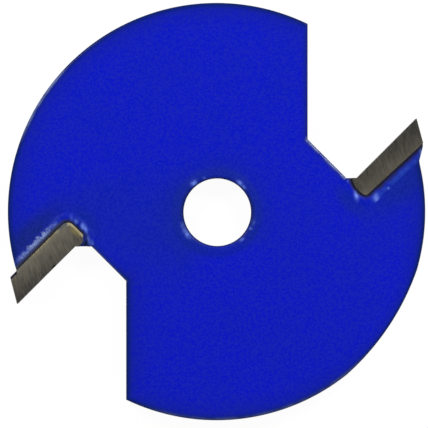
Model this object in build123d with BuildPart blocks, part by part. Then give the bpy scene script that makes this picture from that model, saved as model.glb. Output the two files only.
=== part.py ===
from build123d import *
from dataclasses import dataclass
import math
import os

# Two-wing slotting cutter for a small arbor: a flat steel body with two brazed carbide tips.
# Origin: centre of the bore, half way through the body. +Z runs along the bore, and +Y runs
# along the long walls of the gullets. Seen from +Z the cutter turns counter-clockwise.

# Driving dimensions, in millimetres and degrees
cutting_diameter = 41.275
cutting_width = 3.175
bore_diameter = 6.35
plate_thickness = 2.4
rim_diameter = 39.16

# The rim was turned a little off the bore, so one wing stands slightly further out
rim_centre = (-0.07, 0.06)

# Worn stretch of one wing's rim, a flatter arc between two angles about the bore
worn_from = -56.0
worn_to = -12.0
worn_depth = 0.25

# Gullet ahead of each tip: a long wall parallel to Y, a slope towards the tip and a short floor
gullet_slope = -45.0
gullet_floor_y = 3.22

# Cutting geometry: the ground faces stand at this angle to X, which gives a hook of about 20
face_angle = 45.0
end_clearance = 10.0
radial_side_clearance = 1.0
tangential_side_clearance = 2.0

# Edge breaks on the body
rim_edge_break = 0.15
bore_edge_break = 0.2
seat_edge_break = 0.28

# Layer of braze between a tip and its seat
seam = 0.17

# Shoulder of braze that backs the first tip's heel beyond the rim, in that tip's plane
shoulder_top = (-1.23, -2.03)
shoulder_waist = (-1.77, -2.48)
shoulder_foot = (-2.42, -3.0)
shoulder_root = (-3.6, -2.03)

# How far in the braze on the second tip's back starts, which runs out to the tip's heel
heel_root = -3.6

# Chip in the second tip's cutting edge, on the upper side
chip_distance = 4.94
chip_radius = 0.32
chip_rise = 0.16

cutting_radius = cutting_diameter / 2
rim_radius = rim_diameter / 2
bore_radius = bore_diameter / 2
half_plate = plate_thickness / 2
half_width = cutting_width / 2
beyond = cutting_diameter


@dataclass
class Tip:
    """One carbide tip as it was brazed in and then ground, in millimetres and degrees."""

    side: str
    turn: float  # of the wing about the bore, from the first one
    corner_angle: float  # of the cutting corner, from the wing's own X
    wall_x: float  # of the long wall of the gullet ahead of the tip
    slope_start_y: float  # of the gullet's slope
    thickness: float  # from the ground face to the back, at the heel
    back_slant: float  # between the back and the face, which is ground a little askew
    length: float  # from the cutting corner to the inner end, at the back
    end_skew: float  # how much shorter the tip is at the front
    end_bow: float  # how far the inner end bulges
    front_stock: float  # carbide left ahead of the ground face, below the gullet's floor
    front_corner: float  # radius of the inner front corner
    back_corner: float  # break on the inner back corner
    heel_seam: float  # braze left on the back out beyond the rim
    bead_height: float  # braze standing above the body along the seat


tips = [
    Tip(
        side="right",
        turn=0,
        corner_angle=25.22,
        wall_x=8.48,
        slope_start_y=6.84,
        thickness=2.08,
        back_slant=2.3,
        length=8.46,
        end_skew=0.23,
        end_bow=0.26,
        front_stock=0.33,
        front_corner=0.06,
        back_corner=0.12,
        heel_seam=0,
        bead_height=0.1,
    ),
    Tip(
        side="left",
        turn=180,
        corner_angle=24.63,
        wall_x=8.55,
        slope_start_y=6.45,
        thickness=2.01,
        back_slant=0,
        length=8.7,
        end_skew=0,
        end_bow=0.02,
        front_stock=0.25,
        front_corner=0.32,
        back_corner=0.36,
        heel_seam=0.23,
        bead_height=0.28,
    ),
]


def find_corner(tip):
    """Find a tip's cutting corner, on its wing before the wing's turn."""
    return Vector(cutting_radius, 0).rotate(Axis.Z, tip.corner_angle)


def tip_plane(tip, height=0.0):
    """Plane at a tip's cutting corner: X runs outwards along the face, and Y ahead of it."""
    return Plane(
        origin=find_corner(tip).rotate(Axis.Z, tip.turn) + Vector(0, 0, height),
        x_dir=Vector(1, 0, 0).rotate(Axis.Z, face_angle + tip.turn),
        z_dir=(0, 0, 1),
    )


def cut_gullet(tip):
    """Subtract one gullet, which also grinds the tip's face, from the part being built."""
    corner = find_corner(tip)
    slope_length = (tip.slope_start_y - gullet_floor_y) / math.sin(math.radians(-gullet_slope))
    face_length = (corner.Y - gullet_floor_y) / math.sin(math.radians(face_angle))
    along_face = Vector(1, 0).rotate(Axis.Z, face_angle)
    with BuildSketch(Plane.XY.rotated((0, 0, tip.turn))) as opening:
        with BuildLine():
            wall = Line((tip.wall_x, beyond), (tip.wall_x, tip.slope_start_y))
            slope = PolarLine(wall @ 1, slope_length, gullet_slope)
            floor = Line(slope @ 1, corner - along_face * face_length)
            face = Line(floor @ 1, corner + along_face * beyond)
            Line(face @ 1, wall @ 0)
        make_face()
    extrude(opening.sketch, amount=cutting_width, both=True, mode=Mode.SUBTRACT)


def heel_x(tip, y):
    """Find the tip's ground end at a height in its plane, where it clears the cutting circle."""
    return math.tan(math.radians(face_angle - tip.corner_angle + end_clearance)) * y


def back_y(tip, x):
    """Find the height of the tip's back at a place along its plane."""
    inwards = heel_x(tip, -tip.thickness) - x
    return inwards * math.tan(math.radians(tip.back_slant)) - tip.thickness


def draw_tip(tip, margin=0.0):
    """Draw a tip's outline as brazed, in its own plane, with a margin on every side."""
    front = tip.front_stock
    with BuildLine() as outline:
        top = Line((heel_x(tip, front), front), (tip.end_skew - tip.length, front))
        end = SagittaArc(top @ 1, (-tip.length, back_y(tip, -tip.length)), -tip.end_bow)
        rear = Line(end @ 1, (heel_x(tip, -tip.thickness), -tip.thickness))
        Line(rear @ 1, top @ 0)
    make_face(outline.edges())
    fillet(vertices().sort_by_distance(top @ 1)[0], tip.front_corner)
    chamfer(vertices().sort_by_distance(end @ 1)[0], tip.back_corner)
    if margin:
        offset(amount=margin, kind=Kind.INTERSECTION)


def grind_sides(tip):
    """Cut the part being built back to the tip's side faces, which taper from its corner."""
    for way in (1, -1):
        plane = tip_plane(tip, way * half_width)
        normal = (
            plane.z_dir * way
            - plane.x_dir * math.tan(math.radians(radial_side_clearance))
            - plane.y_dir * math.tan(math.radians(tangential_side_clearance))
        )
        split(bisect_by=Plane(origin=plane.origin, z_dir=normal), keep=Keep.BOTTOM)


def write_piece(part, label):
    """Label a finished piece and write its STEP file."""
    part.label = label
    export_step(part, f"parts/{label}.step")


os.makedirs("parts", exist_ok=True)

seats = {}
for tip in tips:
    # Space of a tip's seat: the tip and the seam round it, opening out at the body's two faces
    with BuildPart() as seat:
        with BuildSketch(tip_plane(tip)):
            draw_tip(tip, margin=seam)
        extrude(amount=half_plate, both=True)
        for way in (1, -1):
            with BuildSketch(tip_plane(tip, way * half_plate)):
                draw_tip(tip, margin=seam + seat_edge_break)
            extrude(amount=-way * seat_edge_break, taper=45)
    seats[tip.side] = seat.part

# Steel body, with its worn rim, gullets, bore and tip seats
with BuildPart() as body:
    with BuildSketch():
        with Locations(rim_centre):
            Circle(rim_radius)
        with BuildLine():
            worn_start = Vector(rim_radius, 0).rotate(Axis.Z, worn_from)
            worn_end = Vector(rim_radius, 0).rotate(Axis.Z, worn_to)
            worn_middle = (worn_start + worn_end).normalized() * (rim_radius - worn_depth)
            ThreePointArc(worn_start, worn_middle, worn_end)
            Polyline(worn_end, (beyond, worn_end.Y), (beyond, -beyond), worn_start)
        make_face(mode=Mode.SUBTRACT)
    extrude(amount=half_plate, both=True)
    for tip in tips:
        cut_gullet(tip)
    chamfer(edges().group_by(Axis.Z)[0] + edges().group_by(Axis.Z)[-1], rim_edge_break)
    Hole(bore_radius)
    chamfer(edges().filter_by(GeomType.CIRCLE).sort_by(SortBy.RADIUS)[:2], bore_edge_break)
    for tip in tips:
        add(seats[tip.side], mode=Mode.SUBTRACT)
write_piece(body.part, "cutter_body")

for tip in tips:
    # Carbide tip, ground on its face with the gullet, on its two sides and at its end
    with BuildPart() as carbide:
        with BuildSketch(tip_plane(tip)):
            draw_tip(tip)
        extrude(amount=cutting_width, both=True)
        cut_gullet(tip)
        grind_sides(tip)
        if tip.side == "left":
            with Locations(tip_plane(tip, half_width).location * Pos(-chip_distance, chip_rise)):
                Sphere(chip_radius, mode=Mode.SUBTRACT)
    write_piece(carbide.part, f"{tip.side}_carbide_tip")

    # Braze that fills the seat round the tip, with a bead standing above each of its edges
    with BuildPart() as braze:
        add(seats[tip.side])
        for way in (1, -1):
            with BuildSketch(tip_plane(tip, way * half_plate)):
                draw_tip(tip, margin=seam + seat_edge_break)
            extrude(amount=way * tip.bead_height, taper=45)
        with BuildSketch():
            with Locations(rim_centre):
                Circle(rim_radius)
        extrude(amount=cutting_width, both=True, mode=Mode.INTERSECT)
        cut_gullet(tip)
        grind_sides(tip)
        if tip.side == "right":
            with BuildSketch(tip_plane(tip)):
                with BuildLine():
                    ThreePointArc(shoulder_top, shoulder_waist, shoulder_foot)
                    Polyline(shoulder_foot, shoulder_root, shoulder_top)
                make_face()
            extrude(amount=half_plate, both=True)
            add(body.part, mode=Mode.SUBTRACT)
        if tip.heel_seam:
            foot = -tip.thickness - tip.heel_seam
            with BuildSketch(tip_plane(tip)):
                with BuildLine():
                    back = Line((heel_x(tip, -tip.thickness), -tip.thickness), (heel_x(tip, foot), foot))
                    Polyline(back @ 1, (heel_root, foot), (heel_root, -tip.thickness), back @ 0)
                make_face()
            extrude(amount=half_plate, both=True)
            add(body.part, mode=Mode.SUBTRACT)
        with BuildSketch(tip_plane(tip)):
            draw_tip(tip)
        extrude(amount=cutting_width, both=True, mode=Mode.SUBTRACT)
    write_piece(braze.part, f"{tip.side}_braze_seam")
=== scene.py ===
"""Two-wing slotting cutter: blue lacquered steel body, two brazed carbide tips and their braze.

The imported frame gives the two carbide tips. The lacquered body and the braze round each tip are
modelled here, because the lacquer's soft edges and the beads of braze are what the eye reads.
Meshes are shaped in millimetres and brought to metres when they are finished.
"""

import logging
import math
from contextlib import contextmanager
from dataclasses import dataclass
from enum import Enum
from functools import reduce
from typing import Callable, Iterator

import bmesh
import bpy
import numpy as np
from mathutils import Matrix, Vector, noise


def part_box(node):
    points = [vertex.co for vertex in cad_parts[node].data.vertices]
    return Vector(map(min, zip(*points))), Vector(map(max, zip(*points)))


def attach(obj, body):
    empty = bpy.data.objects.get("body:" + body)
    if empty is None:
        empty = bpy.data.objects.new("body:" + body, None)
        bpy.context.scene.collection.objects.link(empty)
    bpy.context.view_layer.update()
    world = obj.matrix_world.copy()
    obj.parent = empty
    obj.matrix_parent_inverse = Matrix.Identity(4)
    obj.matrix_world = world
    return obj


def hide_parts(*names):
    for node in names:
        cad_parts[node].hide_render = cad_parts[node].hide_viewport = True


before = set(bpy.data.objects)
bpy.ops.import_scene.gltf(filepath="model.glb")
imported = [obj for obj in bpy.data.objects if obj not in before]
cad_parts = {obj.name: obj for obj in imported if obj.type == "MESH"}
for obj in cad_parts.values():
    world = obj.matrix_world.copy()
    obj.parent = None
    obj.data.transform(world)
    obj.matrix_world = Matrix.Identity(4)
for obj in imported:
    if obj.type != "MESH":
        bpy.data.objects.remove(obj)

log = logging.getLogger("slotting_cutter")

MM = 0.001
MEET_STEPS = 8
BODY = "root"
BODY_NODE = "cutter_body"

Colour = tuple[float, float, float, float]
WHITE: Colour = (1.0, 1.0, 1.0, 1.0)
Array = np.ndarray
Socket = bpy.types.NodeSocket
Value = Socket | float
Parts = bmesh.types.BMEdgeSeq | bmesh.types.BMFaceSeq


class Side(Enum):
    """One of the cutter's two wings, with its turn about the bore in radians."""

    RIGHT = 0.0
    LEFT = math.pi

    @property
    def word(self) -> str:
        """The side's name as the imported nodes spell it."""
        return self.name.lower()


class Slot(Enum):
    """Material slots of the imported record."""

    LACQUER = "blue_lacquered_steel"
    BRAZE = "braze_alloy"


def rgb(red: int, green: int, blue: int) -> Colour:
    """Turn a colour as a screen shows it into the linear values that a shader takes.

    Args:
        red: Red, from 0 to 255.
        green: Green, from 0 to 255.
        blue: Blue, from 0 to 255.

    Returns:
        The linear colour, with an alpha of 1.
    """
    shown = [value / 255 for value in (red, green, blue)]
    linear = [((c + 0.055) / 1.055) ** 2.4 if c > 0.04045 else c / 12.92 for c in shown]
    return (*linear, 1.0)


def smooth(x: Array, low: Array | float, high: Array | float) -> Array:
    """Ease from 0 at low to 1 at high.

    Args:
        x: Where to take the step's value.
        low: Where the step starts.
        high: Where the step ends, which may be below low.

    Returns:
        The eased values, from 0 to 1.
    """
    t = np.clip((x - low) / (high - low), 0, 1)
    return t * t * (3 - 2 * t)


@dataclass(frozen=True)
class Fade:
    """A soft step that rises from nothing at its start to its full share at its end."""

    start: float
    end: float
    share: float = 1.0

    def at(self, x: Array) -> Array:
        """Return the step's value at each place."""
        return self.share * smooth(x, self.start, self.end)


def to_segment(points: Array, start: Vector, end: Vector) -> Array:
    """Measure how far points of the plan are from a line with two ends.

    Args:
        points: Points of shape (n, 2).
        start: The line's first end.
        end: The line's other end.

    Returns:
        One distance for each point.
    """
    first, run = np.array(start), np.array(end - start)
    share = np.clip((points - first) @ run / (run @ run), 0, 1)
    return np.linalg.norm(points - first - share[:, None] * run, axis=1)


def ripple(points: Array, grain: float, seed: float, octaves: int = 3) -> Array:
    """Sample smooth noise at points.

    Args:
        points: Points of shape (n, 3), in millimetres.
        grain: Size of the noise's lumps, in millimetres.
        seed: Offset that gives each use its own pattern.
        octaves: How many finer layers are added.

    Returns:
        One value for each point, mostly from -1 to 1.
    """
    shift = Vector((seed, 2 * seed, -seed))
    values = [noise.fractal(Vector(p) / grain + shift, 0.8, 2.1, octaves) for p in points]
    return np.array(values, float)


def bearing(angle: float) -> Vector:
    """Return the direction at an angle from X, in the plan."""
    return Vector((math.cos(angle), math.sin(angle)))


def only(piece: bpy.types.Object) -> None:
    """Make one object the only selected one, and the active one."""
    bpy.ops.object.select_all(action="DESELECT")
    piece.select_set(True)
    bpy.context.view_layer.objects.active = piece


@contextmanager
def editing(piece: bpy.types.Object) -> Iterator[bmesh.types.BMesh]:
    """Hold a piece in edit mode with nothing selected.

    Args:
        piece: The mesh object to edit.

    Yields:
        The piece's edit mesh, in which code selects vertices, edges or faces.
    """
    only(piece)
    bpy.ops.object.mode_set(mode="EDIT")
    bpy.ops.mesh.select_mode(type="VERT")
    bpy.ops.mesh.select_all(action="DESELECT")
    yield bmesh.from_edit_mesh(piece.data)
    bpy.ops.object.mode_set(mode="OBJECT")


def select_where(piece: bpy.types.Object, parts: Parts, wanted: Callable) -> None:
    """Select the edges or the faces of a piece in edit mode that a test picks.

    Args:
        piece: The piece being edited.
        parts: The edges or the faces of its edit mesh.
        wanted: Takes one of them and says whether it is picked.
    """
    kind = "EDGE" if isinstance(parts, bmesh.types.BMEdgeSeq) else "FACE"
    bpy.ops.mesh.select_mode(type=kind)
    for part in parts:
        part.select_set(wanted(part))
    bmesh.update_edit_mesh(piece.data)


def close_shell() -> None:
    """Turn the faces of the piece in edit mode outwards."""
    bpy.ops.mesh.select_all(action="SELECT")
    bpy.ops.mesh.normals_make_consistent(inside=False)


def apply_place(piece: bpy.types.Object) -> None:
    """Move an object's place, turn and scale into its mesh."""
    only(piece)
    bpy.ops.object.transform_apply(location=True, rotation=True, scale=True)


def cut(piece: bpy.types.Object, tool: bpy.types.Object) -> None:
    """Cut a solid away from a piece, and remove the solid.

    Args:
        piece: The piece that is cut.
        tool: The solid that cuts it.
    """
    modifier = piece.modifiers.new("cut", "BOOLEAN")
    modifier.object = tool
    modifier.operation = "DIFFERENCE"
    modifier.solver = "EXACT"
    only(piece)
    bpy.ops.object.modifier_apply(modifier=modifier.name)
    bpy.data.objects.remove(tool)


def prism(name: str, outline: list[Vector], height: float) -> bpy.types.Object:
    """Raise a closed prism on an outline, half above the middle plane and half below it.

    Args:
        name: The object's name.
        outline: Corners of the outline, in order, in millimetres.
        height: The prism's height.

    Returns:
        The prism.
    """
    bpy.ops.mesh.primitive_circle_add(vertices=len(outline), radius=1, fill_type="NGON")
    piece = bpy.context.object
    piece.name = name
    for vertex, corner in zip(piece.data.vertices, outline):
        vertex.co = (corner.x, corner.y, -height / 2)
    with editing(piece):
        bpy.ops.mesh.select_all(action="SELECT")
        bpy.ops.mesh.extrude_region_move(TRANSFORM_OT_translate={"value": (0, 0, height)})
        close_shell()
    return piece


def vertex_places(piece: bpy.types.Object) -> Array:
    """Return the places of a piece's vertices, of shape (n, 3)."""
    places = np.empty(len(piece.data.vertices) * 3)
    piece.data.vertices.foreach_get("co", places)
    return places.reshape(-1, 3)


def place_vertices(piece: bpy.types.Object, places: Array) -> None:
    """Put a piece's vertices at places of shape (n, 3)."""
    piece.data.vertices.foreach_set("co", places.ravel())
    piece.data.update()


def write_mask(piece: bpy.types.Object, name: str, values: Array) -> None:
    """Store one number from 0 to 1 for each vertex, for the finish to read.

    Args:
        piece: The piece.
        name: The mask's name.
        values: One value for each vertex.
    """
    mask = piece.data.attributes.new(name, "FLOAT", "POINT")
    mask.data.foreach_set("value", np.clip(values, 0, 1).astype(np.float32))


def finish_piece(piece: bpy.types.Object, name: str, smooth_angle: float) -> None:
    """Bring a finished mesh to metres, shade it and let it ride on the cutter.

    Args:
        piece: The piece, modelled in millimetres.
        name: Its name.
        smooth_angle: Edges sharper than this stay sharp, in radians.
    """
    piece.name = name
    piece.data.name = name
    piece.scale = (MM, MM, MM)
    apply_place(piece)
    bpy.ops.object.shade_smooth_by_angle(angle=smooth_angle)
    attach(piece, BODY)
    triangles = sum(len(face.vertices) - 2 for face in piece.data.polygons)
    log.info("%s: %d triangles", name, triangles)


@dataclass(frozen=True)
class CutterPlan:
    """Sizes that the whole cutter shares, in millimetres and radians, seen from +Z."""

    cutting_radius: float = 41.275 / 2
    half_width: float = 3.175 / 2
    half_plate: float = 2.4 / 2
    bore_radius: float = 6.35 / 2
    rim_radius: float = 39.16 / 2
    rim_centre: Vector = Vector((-0.07, 0.06))
    worn_from: float = math.radians(-56)
    worn_to: float = math.radians(-12)
    worn_depth: float = 0.25
    floor_y: float = 3.22
    face_angle: float = math.radians(45)
    end_clearance: float = math.radians(10)
    far: float = 60.0

    @property
    def worn_middle(self) -> float:
        """Angle of the worn stretch's middle."""
        return (self.worn_to + self.worn_from) / 2

    @property
    def worn_half(self) -> float:
        """Half the angle that the worn stretch takes up."""
        return (self.worn_to - self.worn_from) / 2

    def inside_rim(self, places: Array) -> Array:
        """Return how far places of shape (..., 2) are inside the rim."""
        return self.rim_radius - np.linalg.norm(places - np.array(self.rim_centre), axis=-1)


PLAN = CutterPlan()


@dataclass(frozen=True)
class Wing:
    """One wing's gullet and the outline of its tip as brazed, in millimetres and degrees.

    The wing's plan is turned about the bore by the side's turn. In the tip's own plane X runs
    outwards along the ground face from the cutting corner, and Y ahead of the face.
    """

    side: Side
    corner_angle: float
    wall_x: float
    slope_start_y: float
    thickness: float
    back_slant: float
    length: float
    end_skew: float
    end_bow: float
    front_stock: float
    front_round: float
    back_round: float
    seat_gap: float = 0.6
    heel_seam: float = 0.0
    shoulder: float = 0.0
    shoulder_width: float = 1.05
    wall_halo: float = 0.0
    pitch_distance: float = 0.6
    past_end: float = 3.0
    opening_steps: int = 12

    @property
    def corner(self) -> Vector:
        """Cutting corner."""
        return bearing(math.radians(self.corner_angle)) * PLAN.cutting_radius

    @property
    def along_face(self) -> Vector:
        """Direction outwards along the ground face."""
        return bearing(PLAN.face_angle)

    @property
    def ground_face(self) -> float:
        """Length of the ground face, from the cutting corner to the gullet's floor."""
        return (self.corner.y - PLAN.floor_y) / math.sin(PLAN.face_angle)

    @property
    def wall_end(self) -> Vector:
        """Rough corner of the gullet's wall and the rim."""
        return Vector((self.wall_x, PLAN.rim_radius))

    @property
    def slope_start(self) -> Vector:
        """Corner of the gullet's wall and slope."""
        return Vector((self.wall_x, self.slope_start_y))

    @property
    def slope_end(self) -> Vector:
        """Corner of the gullet's slope and floor."""
        return Vector((self.wall_x + self.slope_start_y - PLAN.floor_y, PLAN.floor_y))

    @property
    def floor_end(self) -> Vector:
        """Corner of the gullet's floor and the tip's face."""
        return self.corner - self.along_face * self.ground_face

    def to_cutter(self, points: Array) -> Array:
        """Turn points of the tip's plane, of shape (..., 2), into places on the cutter."""
        u, corner = self.along_face, self.corner
        x = corner.x + points[..., 0] * u.x - points[..., 1] * u.y
        y = corner.y + points[..., 0] * u.y + points[..., 1] * u.x
        sign = math.cos(self.side.value)
        return np.stack([sign * x, sign * y], -1)

    def heel_x(self, y: float) -> float:
        """Find the tip's ground end at a height in its plane."""
        return math.tan(PLAN.face_angle - math.radians(self.corner_angle) + PLAN.end_clearance) * y

    def back_y(self, x: float) -> float:
        """Find the height of the tip's back at a place along its plane."""
        inwards = self.heel_x(-self.thickness) - x
        return inwards * math.tan(math.radians(self.back_slant)) - self.thickness

    def contour(self) -> list["Stretch"]:
        """Return the stretches round the tip, from the gullet's floor to past the rim."""
        front = Vector((self.end_skew - self.length, self.front_stock))
        back = Vector((-self.length, self.back_y(-self.length)))
        chord = back - front
        radius = (chord.length_squared + 4 * self.end_bow**2) / (8 * self.end_bow)
        way_out = Vector((-chord.y, chord.x)).normalized()
        centre = (front + back) / 2 + way_out * (radius - self.end_bow)

        def corner(
            edge_angle: float, through: Vector, rounding: float, hand: int
        ) -> tuple[Vector, float]:
            """Return a rounded corner's centre, and the angle where it meets the inner end."""
            normal = bearing(edge_angle)
            level = (through - centre).dot(normal) - rounding
            reach = math.sqrt((radius - rounding) ** 2 - level**2)
            offset = normal * level + Vector((-normal.y, normal.x)) * hand * reach
            return centre + offset, math.atan2(offset.y, offset.x) % math.tau

        ahead = math.pi / 2
        behind = 3 * math.pi / 2 - math.radians(self.back_slant)
        front_middle, front_turn = corner(ahead, front, self.front_round, 1)
        back_middle, back_turn = corner(behind, back, self.back_round, -1)
        front_run = self.past_end
        back_run = self.length + self.past_end
        front_start = front_middle + Vector((front_run, 0))
        return [
            Stretch(front_start, self.front_round, ahead, ahead, front_run),
            Stretch(front_middle, self.front_round, ahead, front_turn),
            Stretch(centre, radius, front_turn, back_turn),
            Stretch(back_middle, self.back_round, back_turn, behind),
            Stretch(back_middle, self.back_round, behind, behind, back_run),
        ]

    def stops(self) -> Array:
        """Return where each stretch of the contour starts, and the contour's whole length."""
        lengths = [stretch.length(self.pitch_distance) for stretch in self.contour()]
        return np.concatenate([[0.0], np.cumsum(lengths)])

    def at(self, along: Array, distance: Array) -> Array:
        """Find points round the tip.

        Args:
            along: How far along the contour each point is.
            distance: How far behind the tip's surface each point is.

        Returns:
            The points in the tip's plane, of shape (..., 2).
        """
        starts = self.stops()[:-1]
        number = np.clip(np.searchsorted(starts, along, side="right") - 1, 0, len(starts) - 1)
        found = np.zeros((*np.shape(along), 2))
        for i, (stretch, start) in enumerate(zip(self.contour(), starts)):
            here = number == i
            share = (along[here] - start) / stretch.length(self.pitch_distance)
            found[here] = stretch.points(share, distance[here])
        return found

    def bulge(self, points: Array) -> Array:
        """Return how far the braze swells beyond the rim behind the tip's heel."""
        behind = np.clip((-self.thickness - points[..., 1]) / self.shoulder_width, 0, 1)
        return self.shoulder * np.cos(behind * math.pi / 2) ** 2

    def below_floor(self, points: Array) -> Array:
        """Return how far points of the tip's plane are inside the gullet floor's line."""
        return (-self.ground_face - points[..., 0] - points[..., 1]) / math.sqrt(2)

    def inside_rim(self, points: Array) -> Array:
        """Return how far points of the tip's plane are inside the rim."""
        return PLAN.inside_rim(self.to_cutter(points)) + self.bulge(points)

    def inset(self, points: Array) -> Array:
        """Return how far points of the tip's plane are inside the body's outline."""
        floor = self.below_floor(points)
        past_foot = (points[..., 0] + self.ground_face - points[..., 1]) / math.sqrt(2)
        floor = np.where(past_foot > 0, np.hypot(past_foot, floor), floor)
        return np.minimum(floor, self.inside_rim(points))

    def limit(
        self, distance: Array, inside: float, outside: float, depth: Callable, halvings: int = 40
    ) -> Array:
        """Find where contours leave the body's outline, by halving.

        Args:
            distance: The contours' distances behind the tip.
            inside: A place along them that is inside the outline.
            outside: A place along them that is outside it.
            depth: Takes points and says how far they are inside.
            halvings: How many times the way between the two places is halved.

        Returns:
            The place along each contour.
        """
        near = np.full(np.shape(distance), inside)
        out = np.full(np.shape(distance), outside)
        for _ in range(halvings):
            middle = (near + out) / 2
            fits = depth(self.at(middle, distance)) > 0
            near, out = np.where(fits, middle, near), np.where(fits, out, middle)
        return near

    def opening(self) -> list[Vector]:
        """Return the outline of the opening that the bead fills: the seat and its broken edge."""
        stops = self.stops()
        count = self.opening_steps + 1
        rounds = [np.linspace(stops[i], stops[i + 1], count)[1:] for i in (1, 2, 3)]
        along = np.concatenate(rounds)
        round_tip = self.at(along, np.full(len(along), self.seat_gap))
        front = self.front_stock + self.seat_gap
        start = [(PLAN.far, front), (round_tip[0][0] + self.front_round, front)]
        corners = np.array([*start, *round_tip, (PLAN.far, self.back_y(PLAN.far) - self.seat_gap)])
        return [Vector(point) for point in self.to_cutter(corners)]


RIGHT_WING = Wing(
    side=Side.RIGHT,
    corner_angle=25.22,
    wall_x=8.48,
    slope_start_y=6.84,
    thickness=2.08,
    back_slant=2.3,
    length=8.46,
    end_skew=0.23,
    end_bow=0.26,
    front_stock=0.33,
    front_round=0.1,
    back_round=0.2,
    shoulder=0.8,
)
LEFT_WING = Wing(
    side=Side.LEFT,
    corner_angle=24.63,
    wall_x=8.55,
    slope_start_y=6.45,
    thickness=2.01,
    back_slant=0.0,
    length=8.7,
    end_skew=0.0,
    end_bow=0.02,
    front_stock=0.25,
    front_round=0.32,
    back_round=0.5,
    heel_seam=0.23,
    wall_halo=0.38,
)
WINGS = (RIGHT_WING, LEFT_WING)


@dataclass(frozen=True)
class OutlineRun:
    """One run of the body's outline, travelled with the body on its left.

    An arc turns about its anchor, and a line passes through it.
    """

    anchor: Vector
    inwards: Vector = Vector((0, 0))
    radius: float = 0.0

    def inset(self, point: Vector) -> float:
        """Return how far a point is inside the run."""
        if self.radius:
            return self.radius - (point - self.anchor).length
        return (point - self.anchor).dot(self.inwards)

    def way_in(self, point: Vector) -> Vector:
        """Return the direction straight inwards at a point."""
        return (self.anchor - point).normalized() if self.radius else self.inwards

    def between(self, start: Vector, end: Vector, count: int) -> list[Vector]:
        """Return evenly spaced points from one end of the run to just short of the other."""
        shares = [i / count for i in range(count)]
        if not self.radius:
            return [start.lerp(end, share) for share in shares]
        first, last = start - self.anchor, end - self.anchor
        turn = (math.atan2(last.y, last.x) - math.atan2(first.y, first.x)) % math.tau
        return [self.anchor + Matrix.Rotation(turn * share, 2) @ first for share in shares]


def meet(first: OutlineRun, second: OutlineRun, inset: float, near: Vector) -> Vector:
    """Find the corner of two runs, moved inwards.

    Args:
        first: The run before the corner.
        second: The run after it.
        inset: How far inside both runs the point is.
        near: A place close to the point.

    Returns:
        The point.
    """
    point = near.copy()
    for _ in range(MEET_STEPS):
        a, b = first.way_in(point), second.way_in(point)
        left_a, left_b = inset - first.inset(point), inset - second.inset(point)
        step = Vector((left_a * b.y - left_b * a.y, a.x * left_b - b.x * left_a))
        point += step / (a.x * b.y - a.y * b.x)
    return point


def body_outline() -> tuple[list[OutlineRun], list[Vector]]:
    """Return the runs of the body's outline and the rough place where each one starts."""
    rim = OutlineRun(PLAN.rim_centre, radius=PLAN.rim_radius)
    worn_level = PLAN.rim_radius - PLAN.worn_depth
    rise = worn_level - PLAN.rim_radius * math.cos(PLAN.worn_half)
    half_chord = PLAN.rim_radius * math.sin(PLAN.worn_half)
    flatter = (half_chord**2 + rise**2) / (2 * rise)
    worn = OutlineRun(bearing(PLAN.worn_middle) * (worn_level - flatter), radius=flatter)

    gullets = []
    for wing in WINGS:
        sign = math.cos(wing.side.value)
        lines = [
            (Vector((1, -1)).normalized(), wing.corner),
            (Vector((0, -1)), wing.floor_end),
            (Vector((-1, -1)).normalized(), wing.slope_end),
            (Vector((-1, 0)), wing.slope_start),
        ]
        turned = [(way * sign, start * sign) for way, start in lines]
        gullets.append([(OutlineRun(start, way), start) for way, start in turned])
    right, left = gullets
    ring = [(rim, RIGHT_WING.wall_end), *left, (rim, -LEFT_WING.wall_end)]
    ring += [(worn, bearing(PLAN.worn_from) * PLAN.rim_radius)]
    ring += [(rim, bearing(PLAN.worn_to) * PLAN.rim_radius), *right]
    return [run for run, _ in ring], [start for _, start in ring]


@dataclass(frozen=True)
class Halo:
    """How far painted shade reaches in from an edge: strongest at it, and gone at its reach."""

    strength: float
    reach: float
    power: float

    def share(self, distance: Array) -> Array:
        """Return how much painted shade there is at a distance from the edge."""
        return self.strength * np.clip(1 - distance / self.reach, 0, 1) ** self.power


# Painted shade along the rim: a broad fade and a narrow one
RIM_HALOS = (Halo(0.42, 2.4, 1.5), Halo(0.75, 0.62, 1.3))
GULLET_HALO = Halo(0.85, 0.8, 1.7)
WORN_CROWDING = 0.9
WORN_SHIFT = 0.12


def edge_shade(places: Array, swell: Array | float = 0.0) -> Array:
    """Say how much painted shade darkens the lacquer near the outline, where the rounded edge turns
    from the light.

    Args:
        places: Places on the cutter, of shape (n, 2).
        swell: How far the braze swells beyond the rim there.

    Returns:
        One value for each place, from 0 on the flat to 1 at the edge.
    """
    angle = np.arctan2(places[:, 1], places[:, 0])
    worn = 1 - np.clip((angle - PLAN.worn_middle) / PLAN.worn_half, -1, 1) ** 2
    rim = PLAN.inside_rim(places) + swell - PLAN.worn_depth * worn
    rim = rim * (1 + WORN_CROWDING * worn) + WORN_SHIFT * worn
    fade = sum(halo.share(rim) for halo in RIM_HALOS)
    for wing in WINGS:
        turned = places * math.cos(wing.side.value)
        corners = (wing.wall_end, wing.slope_start, wing.slope_end, wing.floor_end)
        walls = [to_segment(turned, start, end) for start, end in zip(corners, corners[1:])]
        near = GULLET_HALO.share(np.min(walls, axis=0))
        broad = Halo(wing.wall_halo, 2.6, 1.3).share(walls[0])
        fade = np.maximum(fade, near + broad)
    return fade


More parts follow.
